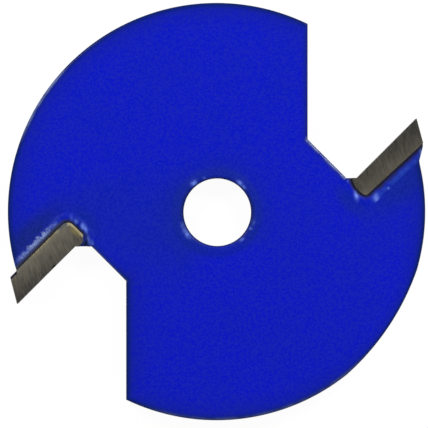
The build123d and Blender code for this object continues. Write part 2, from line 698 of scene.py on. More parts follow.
@dataclass(frozen=True)
class Spot:
    """A soft blob, placed by its bearing in degrees and distance from the bore: a painted glint in
    the lacquer, and on a bead a small lump as well.
    """

    bearing: float
    distance: float
    along: float
    across: float
    strength: float

    def share(self, places: Array) -> Array:
        """Return how much of the blob each place of shape (n, 2) has, from 0 to 1."""
        turn = np.arctan2(places[:, 1], places[:, 0]) - math.radians(self.bearing)
        turn = (turn + math.pi) % math.tau - math.pi
        away = (np.hypot(places[:, 0], places[:, 1]) - self.distance) / self.across
        return self.strength * np.exp(-(away**2 + (turn * self.distance / self.along) ** 2))


def all_spots(spots: tuple[Spot, ...], places: Array) -> Array:
    """Add up what a set of blobs gives each place of shape (n, 2)."""
    return sum((spot.share(places) for spot in spots), np.zeros(len(places)))


@dataclass(frozen=True)
class SoftEdge:
    """The lacquered body's rounded edge, which is wider than it is deep."""

    width: float = 0.22
    depth: float = 0.2

    def drop(self, inset: Array) -> Array:
        """Return how far the face has fallen at a distance inside the outline."""
        t = 1 - np.clip(inset / self.width, 0, 1)
        return self.depth * (1 - np.sqrt(np.clip(1 - t * t, 0, 1)))


EDGE = SoftEdge()


@dataclass(frozen=True)
class Stretch:
    """One stretch of the contour round a tip: a straight run, or an arc about a centre.

    A point of it lies at a distance behind the tip's own surface, so an arc grows with distance.
    """

    centre: Vector
    radius: float
    start: float
    end: float
    run: float = 0.0

    def length(self, distance: float) -> float:
        """Return the stretch's length at a distance behind the tip."""
        return self.run or abs(self.end - self.start) * (self.radius + distance)

    def points(self, share: Array, distance: Array) -> Array:
        """Find points of the stretch.

        Args:
            share: How far along the stretch each point is, from 0 to 1.
            distance: How far behind the tip's surface each point is.

        Returns:
            The points in the tip's plane, of shape (n, 2).
        """
        angle = self.start + (self.end - self.start) * share
        normal = np.stack([np.cos(angle), np.sin(angle)], -1)
        point = np.array(self.centre) + normal * (self.radius + distance)[..., None]
        if self.run:
            along = np.stack([-normal[..., 1], normal[..., 0]], -1)
            point = point + along * (self.run * share)[..., None]
        return point


@dataclass(frozen=True)
class Pool:
    """A soft oval in the plan, in millimetres and degrees: full in its middle, gone at its edge."""

    centre: tuple[float, float]
    half_size: tuple[float, float]
    turn: float = 0.0
    share: float = 1.0


class NodeBench:
    """Adds and links the nodes of one material or world."""

    def __init__(self, tree: bpy.types.NodeTree) -> None:
        """Start with an empty node tree."""
        self.tree = tree
        tree.nodes.clear()

    def add(self, kind: str, inputs: dict | None = None, **settings) -> bpy.types.Node:
        """Add a node.

        Args:
            kind: The node's type.
            inputs: Values or sockets for its inputs, by name or number.
            **settings: The node's own settings.

        Returns:
            The node.
        """
        node = self.tree.nodes.new(kind)
        for name, value in settings.items():
            setattr(node, name, value)
        for name, value in (inputs or {}).items():
            if isinstance(value, Socket):
                self.tree.links.new(value, node.inputs[name])
            else:
                node.inputs[name].default_value = value
        return node

    def sum(self, operation: str, first: Value, second: Value = 0.5, clamp: bool = False) -> Socket:
        """Return the result of a maths node on two numbers or sockets."""
        inputs = {0: first, 1: second}
        return self.add("ShaderNodeMath", inputs, operation=operation, use_clamp=clamp).outputs[0]

    def plus(self, *values: Value) -> Socket:
        """Return the sum of numbers or sockets."""
        return reduce(lambda total, value: self.sum("ADD", total, value), values)

    def times(self, *values: Value) -> Socket:
        """Return the product of numbers or sockets."""
        return reduce(lambda product, value: self.sum("MULTIPLY", product, value), values)

    def step(
        self, value: Value, low: float, high: float, to_low: Value = 0.0, to_high: Value = 1.0
    ) -> Socket:
        """Return a value eased between two limits and mapped to two others."""
        inputs = {0: value, 1: low, 2: high, 3: to_low, 4: to_high}
        return self.add("ShaderNodeMapRange", inputs, interpolation_type="SMOOTHSTEP").outputs[0]

    def noise(
        self, vector: Socket, grain: float, detail: float = 2.0, roughness: float = 0.5
    ) -> Socket:
        """Return smooth noise with lumps of a size in metres."""
        inputs = {"Vector": vector, "Scale": 1 / grain, "Detail": detail, "Roughness": roughness}
        return self.add("ShaderNodeTexNoise", inputs).outputs["Fac"]

    def mix(self, share: Value, first: Socket | Colour, second: Socket | Colour) -> Socket:
        """Return two colours mixed by a share from 0 to 1."""
        inputs = {0: share, 6: first, 7: second}
        return self.add("ShaderNodeMix", inputs, data_type="RGBA").outputs[2]

    def mask(self, name: str) -> Socket:
        """Return a mask that is stored on the piece."""
        return self.add("ShaderNodeAttribute", attribute_name=name).outputs["Fac"]

    def place(self) -> Socket:
        """Return the place on the object."""
        return self.add("ShaderNodeTexCoord").outputs["Object"]

    def plan(self, place: Socket) -> tuple[Socket, Socket]:
        """Return a place brought down into the plan, and its height."""
        x, y, height = self.add("ShaderNodeSeparateXYZ", {0: place}).outputs
        return self.add("ShaderNodeCombineXYZ", {0: x, 1: y}).outputs[0], height

    def length(self, vector: Socket) -> Socket:
        """Return a vector's length."""
        node = self.add("ShaderNodeVectorMath", {0: vector}, operation="LENGTH")
        return node.outputs["Value"]

    def pool(self, flat: Socket, pool: Pool) -> Socket:
        """Return how much of a soft oval a place in the plan has."""
        inputs = {
            "Vector": flat,
            "Location": (pool.centre[0] * MM, pool.centre[1] * MM, 0),
            "Rotation": (0, 0, math.radians(pool.turn)),
            "Scale": (pool.half_size[0] * MM, pool.half_size[1] * MM, 1),
        }
        within = self.add("ShaderNodeMapping", inputs, vector_type="TEXTURE").outputs[0]
        return self.step(self.length(within), 1.0, 0.15, 0.0, pool.share)

    def bump(self, height: Socket, depth: float, below: Socket | None = None) -> Socket:
        """Return a normal that a height from 0 to 1 tilts.

        Args:
            height: The height.
            depth: The depth that a height of 1 stands for, in metres.
            below: A normal to tilt further.

        Returns:
            The normal.
        """
        inputs = {"Height": height, "Distance": depth, "Strength": 1.0}
        if below is not None:
            inputs["Normal"] = below
        return self.add("ShaderNodeBump", inputs).outputs[0]

    def principled(self, inputs: dict) -> None:
        """Send a principled surface to the material's output."""
        surface = self.add("ShaderNodeBsdfPrincipled", inputs).outputs[0]
        self.add("ShaderNodeOutputMaterial", {"Surface": surface})


def blank_material(name: str) -> tuple[bpy.types.Material, NodeBench]:
    """Add an empty material, and the bench for its nodes."""
    material = bpy.data.materials.new(name)
    material.use_nodes = True
    return material, NodeBench(material.node_tree)


@dataclass(frozen=True)
class Lacquer:
    """Thick blue lacquer over dark steel: glossy and faintly mottled, with painted shade on every
    edge and in the grooves, and painted highlights and glints.
    """

    name: str = "blue_lacquer"
    blue: Colour = rgb(2, 18, 201)
    thin_blue: Colour = rgb(6, 33, 154)
    deep_blue: Colour = rgb(14, 34, 112)
    grain: Colour = rgb(32, 46, 178)
    # Painted shade that darkens the lacquer towards every edge
    edge: Colour = rgb(15, 34, 98)
    # Frosted lacquer, lightened further by a painted highlight
    frost_and_highlight: Colour = rgb(132, 150, 203)
    # Painted glints on the beads and round the bore's lip
    pale: Colour = rgb(120, 150, 252)
    sheen: Colour = rgb(46, 78, 184)
    # Painted shade in the groove beside each tip and on the heel, with flux residue on the left
    shade_and_flux: Colour = rgb(40, 42, 58)
    # Painted highlights on the rim's edge and the gullets' slopes
    edge_highlight: Colour = rgb(95, 108, 160)
    dust: Colour = rgb(104, 108, 118)
    grain_size: float = 0.21 * MM
    grain_share: float = 0.44
    speckle_size: float = 0.12 * MM
    cloud_size: float = 5 * MM
    cloud_share: float = 0.14
    peel_size: float = 0.55 * MM
    peel_depth: float = 0.004 * MM
    frost_size: float = 0.14 * MM
    frost_depth: float = 0.05 * MM
    roughness: float = 0.2
    bead_roughness: float = 0.4
    gloss: float = 0.42
    dull_gloss: float = 0.06
    ring_share: float = 0.5
    around_share: float = 0.4
    thin_pools: tuple[Pool, ...] = (
        Pool((-9.5, -0.8), (12, 6), share=0.4),
        Pool((17.2, 2.6), (6, 2.6), 45, 0.85),
        Pool((-5, -4), (6, 4.5), -30, 0.25),
        Pool((12.45, 1.05), (2.7, 1.4), -45, 0.75),
        Pool((-12.5, -0.9), (2.7, 1.4), -45, 0.45),
        Pool((1.0, -4.3), (4.8, 2.8), share=-0.45),
    )
    deep_pool: Pool = Pool((-17.6, -2.4), (6, 2.1), 45, 0.9)

    def material(self) -> bpy.types.Material:
        """Return the lacquer as a material."""
        material, bench = blank_material(self.name)
        place = bench.place()
        grain = bench.noise(place, self.grain_size, 2.0, 0.7)
        grain = bench.step(grain, 0.38, 0.62, 0.0, self.grain_share)
        colour = bench.mix(grain, self._depth(bench, place), self.grain)
        # Painted edge shade, a painted sheen, painted glints and painted shade in the grooves go
        # over the lacquer's own colour
        for mask in ("edge", "sheen", "pale", "shade_and_flux"):
            colour = bench.mix(bench.mask(mask), colour, getattr(self, mask))
        # The frosted lacquer with its painted highlight
        speckle = bench.step(bench.noise(place, self.speckle_size, 3.0, 0.7), 0.36, 0.56, 0.5, 1.5)
        frost_and_highlight = bench.sum("MULTIPLY", bench.mask("frost_and_highlight"), speckle, clamp=True)
        colour = bench.mix(frost_and_highlight, colour, self.frost_and_highlight)
        # Painted highlights on the rim's edge and the slopes, then dust
        for mask in ("edge_highlight", "dust"):
            colour = bench.mix(bench.mask(mask), colour, getattr(self, mask))

        peel = bench.bump(bench.noise(place, self.peel_size), self.peel_depth)
        rough_peel = bench.times(bench.noise(place, self.frost_size, 3.0, 0.6), frost_and_highlight)
        dull = bench.sum("MAXIMUM", bench.mask("satin"), frost_and_highlight)
        dull_or_edge = bench.sum("MAXIMUM", bench.mask("edge"), dull)
        bench.principled(
            {
                "Base Color": colour,
                "Roughness": bench.step(dull, 0.0, 1.0, self.roughness, self.bead_roughness),
                "Specular IOR Level": bench.step(dull_or_edge, 0.3, 1, self.gloss, self.dull_gloss),
                "Normal": bench.bump(rough_peel, self.frost_depth, peel),
            }
        )
        return material

    def _depth(self, bench: NodeBench, place: Socket) -> Socket:
        """Colour the lacquer by how thick it dried: thin round the bore and beside the tips."""
        flat = bench.plan(place)[0]
        radius = bench.length(flat)
        ring = bench.step(radius, 4.5 * MM, 3.95 * MM, 0, self.ring_share)
        around = bench.step(radius, 6.4 * MM, 4.0 * MM, 0, self.around_share)
        cloud = bench.step(bench.noise(flat, self.cloud_size), 0.4, 0.65, 0, self.cloud_share)
        thinness = bench.plus(ring, around, cloud)
        for pool in self.thin_pools:
            thinness = bench.sum("ADD", thinness, bench.pool(flat, pool), clamp=True)
        colour = bench.mix(thinness, self.blue, self.thin_blue)
        return bench.mix(bench.pool(flat, self.deep_pool), colour, self.deep_blue)


@dataclass(frozen=True)
class GroundMetal:
    """Metal with the lines of a grinding wheel, which is worn brighter towards the tips' backs."""

    name: str
    dark: Colour
    light: Colour
    roughness: float
    front: float = 7.25 * MM
    back: float = 9.1 * MM
    outer: float = 20.0 * MM
    inner: float = 12.0 * MM
    tilt: float = math.radians(17)
    line: float = 0.13 * MM
    stretch: float = 8.0
    line_depth: float = 0.002 * MM
    cloud: float = 1.2 * MM
    fine_share: float = 1.1
    wide_share: float = 0.12
    cloud_share: float = 0.28
    level: float = 0.71
    contrast: float = 1.3
    back_share: float = 0.36
    rim_share: float = 0.15
    inner_share: float = 0.26
    dull: Colour = (0.25, 0.26, 0.28, 1.0)
    tint: Colour = (0.52, 0.42, 0.16, 1.0)
    tint_pool: Pool = Pool((-13.36, -1.83), (0.95, 0.34), -45, 0.7)
    # Painted shade in the notch of the chipped cutting edge
    chip_shade: Colour = (0.03, 0.03, 0.026, 1.0)
    chip_shade_pool: Pool = Pool((-15.25, -5.16), (0.42, 0.3), 45)

    def material(self) -> bpy.types.Material:
        """Return the metal as a material."""
        material, bench = blank_material(self.name)
        place = bench.place()
        mapping = {"Vector": place, "Rotation": (0, 0, self.tilt), "Scale": (1, self.stretch, 1)}
        lines = bench.add("ShaderNodeMapping", mapping, vector_type="TEXTURE").outputs[0]
        fine = bench.noise(lines, self.line, 4.0, 0.75)
        wide = bench.noise(lines, 4 * self.line)
        cloud = bench.noise(place, self.cloud, 3.0, 0.55)
        layers = ((fine, self.fine_share), (wide, self.wide_share), (cloud, self.cloud_share))
        share = bench.plus(*(bench.times(layer, part) for layer, part in layers))
        share = bench.sum("SUBTRACT", bench.plus(share, self._wear(bench, place)), self.level)
        share = bench.sum("MULTIPLY", share, self.contrast, clamp=True)
        colour = bench.mix(share, self.dark, self.light)
        colour = bench.mix(bench.mask("dull"), colour, self.dull)

        flat, height = bench.plan(place)
        upper_side = bench.step(height, 1.1 * MM, 1.3 * MM)
        tint = bench.times(bench.pool(flat, self.tint_pool), upper_side)
        colour = bench.mix(tint, colour, self.tint)
        # Painted shade darkens the chip's notch on the tips' upper sides
        chip_shade = bench.times(bench.step(bench.pool(flat, self.chip_shade_pool), 0.1, 0.5), upper_side)
        low, high = self.roughness - 0.015, self.roughness + 0.015
        bench.principled(
            {
                "Base Color": bench.mix(chip_shade, colour, self.chip_shade),
                "Metallic": 1.0,
                "Roughness": bench.step(fine, 0.3, 0.7, low, high),
                "Normal": bench.bump(fine, self.line_depth),
            }
        )
        return material

    def _wear(self, bench: NodeBench, place: Socket) -> Socket:
        """Return how much brighter a tip is at its back and at its inner end."""
        x, y, _ = bench.add("ShaderNodeSeparateXYZ", {0: place}).outputs
        behind, outwards = (
            bench.sum("ABSOLUTE", bench.times(bench.sum(way, y, x), math.sqrt(0.5)))
            for way in ("SUBTRACT", "ADD")
        )
        back = bench.step(behind, self.front, self.back, 0, self.back_share)
        edge = bench.step(behind, self.back - 0.2 * MM, self.back + 0.1 * MM, 0, self.rim_share)
        inner = bench.step(outwards, self.outer, self.inner, 0, self.inner_share)
        return bench.plus(back, edge, inner)


@dataclass(frozen=True)
class RimHighlight:
    """A stretch of painted highlight on the rim's edge, between angles in degrees round the bore.
    """

    rise: Fade
    fall: Fade
    depth: Fade
    grain: float
    gaps: Fade
    strength: float = 1.0

    def share(self, places: Array, degrees: Array, rim: Array) -> Array:
        """Return how much painted highlight each place has."""
        stretch = self.rise.at(degrees) * self.fall.at(degrees)
        ragged = self.gaps.at(ripple(places, self.grain, 5.5))
        return self.strength * stretch * self.depth.at(rim) * ragged


@dataclass
class LacqueredBody:
    """The steel body under its lacquer, with rounded edges, tip seats and the bore's raised lip."""

    finish: bpy.types.Material
    spots: tuple[Spot, ...]
    spacing: float = 0.15
    edge_rows: int = 10
    wall_rows: int = 3
    flat_rows: tuple[float, ...] = (2.4, 1.9, 1.5, 1.2, 0.95, 0.74, 0.56, 0.42, 0.3)
    collar_radius: float = 5.4
    collar_sides: int = 288
    face_rings: int = 26
    lip_rings: int = 8
    lip_height: float = 0.05
    lip_crest: float = 0.27
    lip_drop: float = 0.22
    lip_rise: Fade = Fade(1.15, 0.32)
    dish: tuple[Fade, Fade] = (Fade(1.9, 1.3, 0.02), Fade(0.6, 1.3))
    lumpy: tuple[Fade, Fade] = (Fade(0.9, 0.3), Fade(0.0, 0.12))
    weld: float = 0.0005
    collar_weld: float = 0.002
    smooth_angle: float = math.radians(35)
    rim_highlights: tuple[RimHighlight, ...] = (
        RimHighlight(Fade(135, 141), Fade(162, 151), Fade(0.3, 0.14), 1.6, Fade(-1.1, -0.2)),
        RimHighlight(Fade(246, 262), Fade(330, 304), Fade(0.36, 0.12), 1.3, Fade(-1.2, 0.3), 0.4),
    )
    highlight_depth: Fade = Fade(0.3, 0.1)
    slope_depth: float = 0.15
    slope_gaps: Fade = Fade(-0.7, 0.3)
    slope_highlights: tuple[Fade, Fade] = (Fade(0.34, 0.18, 0.8), Fade(0.2, 0.1, 0.3))
    lip_shade: Fade = Fade(0.55, 0.12)
    crest_shade: Fade = Fade(0.16, 0.04, 0.9)
    dark_wall: Fade = Fade(0.22, 0.5, 0.5)
    glint_from: Fade = Fade(0.04, 0.14)
    satin_lip: Fade = Fade(0.6, 0.3, 0.8)

    def build(self) -> bpy.types.Object:
        """Build the body.

        Returns:
            The finished body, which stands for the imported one.
        """
        body = self._blank()
        self._cut_seats(body)
        self._fit_collar(body)
        self._mask_edges(body)
        body.data.materials.append(self.finish)
        finish_piece(body, "lacquered_body", self.smooth_angle)
        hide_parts(BODY_NODE)
        return body

    def _edge_profile(self) -> list[tuple[float, float]]:
        """Return distance inside the outline and height, from the upper face round to the lower."""
        turn = np.linspace(0, math.pi / 2, self.edge_rows + 1)
        top = PLAN.half_plate
        upper = [(inset, top) for inset in self.flat_rows]
        upper += [
            (EDGE.width * (1 - math.sin(a)), top - EDGE.depth * (1 - math.cos(a))) for a in turn
        ]
        side = np.linspace(top - EDGE.depth, 0, self.wall_rows + 1)[1:-1]
        upper += [(0.0, level) for level in side]
        return upper + [(0.0, 0.0)] + [(inset, -level) for inset, level in reversed(upper)]

    def _blank(self) -> bpy.types.Object:
        """Sweep the rounded edge round the outline and close the two faces."""
        runs, starts = body_outline()
        corners = [meet(runs[i - 1], runs[i], 0, start) for i, start in enumerate(starts)]
        counts = [
            max(2, round((corners[(i + 1) % len(corners)] - corner).length / self.spacing))
            for i, corner in enumerate(corners)
        ]
        # The first run is nearly half the rim, so its arc is that much longer than its chord
        counts[0] = round(counts[0] * math.pi / 2)
        profile = self._edge_profile()
        rows = []
        for inset, level in profile:
            inner = [meet(runs[i - 1], runs[i], inset, corner) for i, corner in enumerate(corners)]
            ring = []
            for number, run in enumerate(runs):
                ring += run.between(inner[number], inner[(number + 1) % len(inner)], counts[number])
            rows.append([(point.x, point.y, level) for point in [*ring, ring[0]]])
        places = np.array(rows)
        bpy.ops.mesh.primitive_grid_add(
            x_subdivisions=places.shape[1] - 1, y_subdivisions=places.shape[0] - 1, size=2
        )
        body = bpy.context.object
        place_vertices(body, places.reshape(-1, 3))
        with editing(body) as mesh:
            bpy.ops.mesh.select_all(action="SELECT")
            bpy.ops.mesh.remove_doubles(threshold=self.weld)
        with editing(body) as mesh:
            select_where(body, mesh.edges, lambda edge: edge.is_boundary)
            bpy.ops.mesh.edge_face_add()
            close_shell()
        return body

    def _cut_seats(self, body: bpy.types.Object) -> None:
        """Mill the two tip seats."""
        for wing in WINGS:
            cut(body, prism("seat", wing.opening(), PLAN.far))

    def _collar_profile(self) -> list[tuple[float, float]]:
        """Return radius and height round the bore, from the flat face to the bore's wall."""
        wall = PLAN.bore_radius
        outer = np.linspace(self.collar_radius, wall + self.lip_crest, self.face_rings)
        rise = self.lip_height * self.lip_rise.at(outer - wall)
        dish = self.dish[0].at(outer - wall) * self.dish[1].at(outer - wall)
        face = list(zip(outer, PLAN.half_plate + rise - dish))
        crest = PLAN.half_plate + self.lip_height
        turn = np.linspace(0, math.pi / 2, self.lip_rings + 1)[1:]
        lip = [
            (wall + self.lip_crest * (1 - math.sin(a)), crest - self.lip_drop * (1 - math.cos(a)))
            for a in turn
        ]
        return face + lip

    def _fit_collar(self, body: bpy.types.Object) -> None:
        """Open the body round the bore, and close it with a ring that carries the bore's lip."""
        bpy.ops.mesh.primitive_cylinder_add(
            vertices=self.collar_sides, radius=self.collar_radius, depth=PLAN.far
        )
        cut(body, bpy.context.object)
        with editing(body) as mesh:

            def in_opening(face: bmesh.types.BMFace) -> bool:
                """Say whether a face is on the wall that the cut left."""
                middle = face.calc_center_median()
                across = math.hypot(middle.x, middle.y)
                return across < self.collar_radius and abs(face.normal.z) < 0.5

            select_where(body, mesh.faces, in_opening)
            bpy.ops.mesh.delete(type="FACE")
        profile = self._collar_profile()
        bpy.ops.mesh.primitive_circle_add(
            vertices=self.collar_sides, radius=profile[0][0], location=(0, 0, profile[0][1])
        )
        collar = bpy.context.object
        apply_place(collar)
        path = profile[1:] + [(r, -z) for r, z in reversed(profile)]
        radius, height = profile[0]
        with editing(collar):
            bpy.ops.mesh.select_all(action="SELECT")
            for next_radius, next_height in path:
                bpy.ops.mesh.extrude_region_move(
                    TRANSFORM_OT_translate={"value": (0, 0, next_height - height)}
                )
                share = next_radius / radius
                bpy.ops.transform.resize(value=(share, share, 1), center_override=(0, 0, 0))
                radius, height = next_radius, next_height
            close_shell()
        self._lump_lip(collar)
        only(body)
        collar.select_set(True)
        bpy.ops.object.join()
        with editing(body):
            bpy.ops.mesh.select_all(action="SELECT")
            bpy.ops.mesh.remove_doubles(threshold=self.collar_weld)
            close_shell()

    def _lump_lip(self, collar: bpy.types.Object) -> None:
        """Make the lacquer on the bore's lip uneven, as it dried."""
        places = vertex_places(collar)
        from_bore = np.linalg.norm(places[:, :2], axis=1) - PLAN.bore_radius
        near = self.lumpy[0].at(from_bore) * self.lumpy[1].at(from_bore)
        lumps = ripple(places, 0.9, 3.1) * 0.02 + ripple(places, 0.25, 7.7) * 0.012
        places[:, 2] += np.sign(places[:, 2]) * near * lumps
        place_vertices(collar, places)

    def _mask_edges(self, body: bpy.types.Object) -> None:
        """Say where painted shade darkens the lacquer at an edge, where painted highlights lie on
        the rim's edge and the slopes, and where painted glints lie round the bore.
        """
        places = vertex_places(body)
        flat = places[:, :2]
        radius = np.linalg.norm(flat, axis=1)
        outline = radius > self.collar_radius + 0.1
        from_bore = radius - PLAN.bore_radius
        angle = np.arctan2(flat[:, 1], flat[:, 0])
        depth = PLAN.half_plate - np.abs(places[:, 2])
        # Painted shade darkens the bore's lip, most at its left and right
        lip_shade = 0.48 + 0.3 * np.cos(2 * angle) + 0.04 * np.sin(angle)
        bore_edge = self.lip_shade.at(from_bore) * lip_shade
        bore_edge = np.maximum(bore_edge, self.crest_shade.at(from_bore))
        # The painted edge shade eases off to half towards the middle of the walls
        on_wall = 1 - self.dark_wall.at(depth)
        ragged = 0.75 + 0.6 * ripple(places, 0.35, 8.5)
        # Painted glints round the bore's lip
        pale = all_spots(self.spots, flat) * ragged * self.glint_from.at(from_bore)
        masks = {
            "edge": np.where(outline, edge_shade(flat), bore_edge) * on_wall,
            "satin": np.where(outline, 0, self.satin_lip.at(from_bore)),
            "pale": np.where(outline, 0, pale),
            # Painted highlights on the rim's edge and the gullets' slopes
            "edge_highlight": np.where(outline, self._edge_highlights(places, depth), 0),
        }
        for name, values in masks.items():
            write_mask(body, name, values)

    def _edge_highlights(self, places: Array, depth: Array) -> Array:
        """Return how much painted highlight the rim's edge and the gullets' slopes have.

        Args:
            places: The body's places, of shape (n, 3).
            depth: How far below the nearer face each of them is.

        Returns:
            One value for each place.
        """
        flat = places[:, :2]
        degrees = np.degrees(np.arctan2(flat[:, 1], flat[:, 0])) % 360
        rim = PLAN.inside_rim(flat)
        rim_highlight = sum(edge_highlight.share(places, degrees, rim) for edge_highlight in self.rim_highlights)
        slope_highlight = 0.0
        for wing, edge_highlight in zip(WINGS, self.slope_highlights):
            turned = flat * math.cos(wing.side.value)
            slope_highlight += edge_highlight.at(to_segment(turned, wing.slope_start, wing.slope_end))
        slope_highlight *= self.slope_gaps.at(ripple(places, 0.7, 2.5)) * (depth < self.slope_depth)
        return np.maximum(rim_highlight * self.highlight_depth.at(depth), slope_highlight)


BEAD_MASKS = ("frost_and_highlight", "pale", "sheen", "shade_and_flux", "dust", "satin", "dull", "edge")


@dataclass(frozen=True)
class BeadLook:
    """Where a bead's lacquer is frosted under a painted highlight, has a painted sheen, is dull or
    dusty, or is darkened by painted shade, in millimetres along or across it.

    A fade that is named for the crest is counted from the crest, and one that is named for a
    corner is counted from where the contour turns into that corner.
    """

    lump_size: float = 0.4
    tuft_size: tuple[float, float] = (0.4, 1.4)
    along_back: float = 1.0
    # How far the painted groove shade reaches round the inner end, and how it wavers
    dark_at_end: float = 0.8
    dark_waver: float = 0.1
    glint_waver: float = 0.5
    front_edge_corner: Fade = Fade(0.2, -0.1)
    front_edge_reach: Fade = Fade(0.9, 0.3)
    dust_outer: Fade = Fade(0.7, 0.48)
    dust_inner: Fade = Fade(0.32, 0.44)
    dust_start: float = 0.4
    # Where the frost with its painted highlight lies
    frost_waver: float = 0.35
    frost_past_crest: Fade = Fade(0.34, 0.1)
    frost_before_crest: Fade = Fade(-0.3, -0.05)
    frost_past_corner: tuple[Fade, ...] = (Fade(0, 0.6, 0.3), Fade(0.9, 2.0, 0.7))
    frost_outwards: Fade = Fade(3.2, 4.4, 0.5)
    frost_gaps: Fade = Fade(-0.5, 0.3, 0.45)
    frost_from_rim: Fade = Fade(0.1, 0.75)
    sheen_waver: float = 0.15
    sheen_past_groove: float = 0.15
    sheen_before_crest: float = 0.05
    sheen_past_crest: Fade = Fade(0.42, 0.1)
    sheen_past_corner: Fade = Fade(-0.4, 0.4)
    sheen_level: float = 0.8
    dull_past_middle: Fade = Fade(-0.05, 0.15)
    dull_past_corner: Fade = Fade(0.9, 0.4)
    dull_front_corner: Fade = Fade(0.15, -0.1, 0.8)
    dull_rim: Fade = Fade(4.1, 4.5, 0.5)
    dull_beside_tip: Fade = Fade(0.08, 0.04, 0.6)


@dataclass
class BeadNet:
    """A bead's net: rows at rising distances from the tip, and columns along its contour."""

    along: Array
    distance: Array
    points: Array
    inset: Array


@dataclass
class BrazeBead:
    """Braze round one tip: it fills the seam, and stands up in a lacquered bead beside the tip."""

    wing: Wing
    finish: bpy.types.Material
    alloy: bpy.types.Material
    groove: float
    groove_depth: float
    crest: float
    end_crest: float
    crest_height: float
    foot: float
    ground_strip: float
    # Painted shade in the groove beside the tip: gone at the first distance and full at the second;
    # on the left it also stands for flux residue
    dark_from: float
    dark_full: float
    roughness: float
    spots: tuple[Spot, ...]
    sheen: float
    # Strength of the frost with its painted highlight
    frost_and_highlight: float
    groove_dust: float
    front_edge_share: float = 0.0
    spacing: float = 0.06
    margin: float = 0.015
    inner: float = -0.03
    hidden_foot: float = 0.3
    heel_root: float = -3.6
    heel_overlap: float = 0.03
    rim_height: float = 0.25
    rim_rise: Fade = Fade(0.0, 0.5, 0.75)
    even_share: float = 0.8
    corner_share: float = 0.3
    corner_spread: float = 1.6
    broad_share: float = 0.25
    blob_height: float = 0.03
    sink: float = 0.0015
    foot_sink: float = 0.03
    ground_sink: float = 0.004
    ground_slope: float = 0.05
    smooth_angle: float = math.radians(50)
    look: BeadLook = BeadLook()
    radial_clearance: float = math.radians(1)
    tangential_clearance: float = math.radians(2)
    seed: float = 1.0

    def build(self) -> bpy.types.Object:
        """Build the bead.

        Returns:
            The finished piece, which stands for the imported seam.
        """
        net = self._net()
        piece = self._shell(net.points, self._heights(net))
        self._mask(piece, net)
        piece.data.materials.append(self.finish)
        piece.data.materials.append(self.alloy)
        if self.ground_strip:
            self._bare_strip(piece, net.along)
        if self.wing.heel_seam:
            self._add_heel(piece)
        finish_piece(piece, f"{self.wing.side.word}_braze_bead", self.smooth_angle)
        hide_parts(f"{self.wing.side.word}_braze_seam")
        return piece

    def _net(self) -> BeadNet:
        """Lay the bead's net, which ends just inside the gullet's floor and the rim.

        Returns:
            The net.
        """
        wing = self.wing
        reach = self.foot + self.hidden_foot
        rows = round((reach - self.inner) / self.spacing) + 1
        distance = np.linspace(self.inner, reach, rows)
        stops = wing.stops()
        middle = (stops[2] + stops[3]) / 2
        first = wing.limit(distance, middle, stops[0], lambda p: wing.below_floor(p) - self.margin)
        last = wing.limit(distance, middle, stops[5], lambda p: wing.inside_rim(p) - self.margin)
        columns = int(np.max(last - first) / self.spacing) + 1
        along = first[:, None] + (last - first)[:, None] * np.linspace(0, 1, columns)
        distance = np.repeat(distance[:, None], columns, 1)
        points = wing.at(along, distance)
        return BeadNet(along, distance, points, wing.inset(points))

    def _heights(self, net: BeadNet) -> Array:
        """Return the heights of the bead's upper surface at its net."""
        distance, shape = net.distance, net.distance.shape
        flat = self.wing.to_cutter(net.points).reshape(-1, 2)
        place = np.concatenate([flat, np.zeros((len(flat), 1))], 1)
        broad = ripple(place, 1.6, self.seed).reshape(shape)
        fine = ripple(place, 0.32, self.seed + 4, 4).reshape(shape)
        blobs = all_spots(self.spots, flat).reshape(shape)
        crest = self._crest(net.along)
        foot = np.where(distance < crest, self.groove, self.foot)
        up = smooth(distance, foot, crest) * (self.rim_height + self.rim_rise.at(net.inset))
        strength = self.even_share + self.corner_share * self._near_corner(net.along)
        strength += self.broad_share * broad
        bead = self.crest_height * strength + self.roughness * fine + self.blob_height * blobs
        groove = self.groove_depth * smooth(distance, crest, self.groove)
        below = smooth(distance, self.foot, self.foot + self.hidden_foot)
        sunk = self.sink + self.foot_sink * below
        plate = PLAN.half_plate - EDGE.drop(np.clip(net.inset, 0, None))
        height = plate + bead * up - groove - sunk
        if self.ground_strip:
            ground = self._ground_level(net.points) - self.ground_sink
            share = smooth(distance, self.ground_strip + self.ground_slope, self.ground_strip)
            height = np.minimum(height * (1 - share) + ground * share, ground)
        return height

    def _on_back(self, along: Array) -> Array:
        """Return 0 round the tip's inner end, rising to 1 along its back."""
        stops = self.wing.stops()
        return smooth(along, stops[3], stops[4] + self.look.along_back)

    def _crest(self, along: Array) -> Array:
        """Return how far behind the tip the bead's crest is: nearer round its inner end."""
        return self.end_crest + (self.crest - self.end_crest) * self._on_back(along)

    def _near_corner(self, along: Array) -> Array:
        """Return 1 at the tip's back corner, where the braze gathered, falling to 0 away from it.
        """
        stops = self.wing.stops()
        corner = (stops[3] + stops[4]) / 2
        return np.exp(-(((along - corner) / self.corner_spread) ** 2))

    def _ground_level(self, points: Array) -> Array:
        """Return the height of the tip's ground side face at points of its plane."""
        radial, tangential = math.tan(self.radial_clearance), math.tan(self.tangential_clearance)
        return PLAN.half_width + radial * points[..., 0] + tangential * points[..., 1]

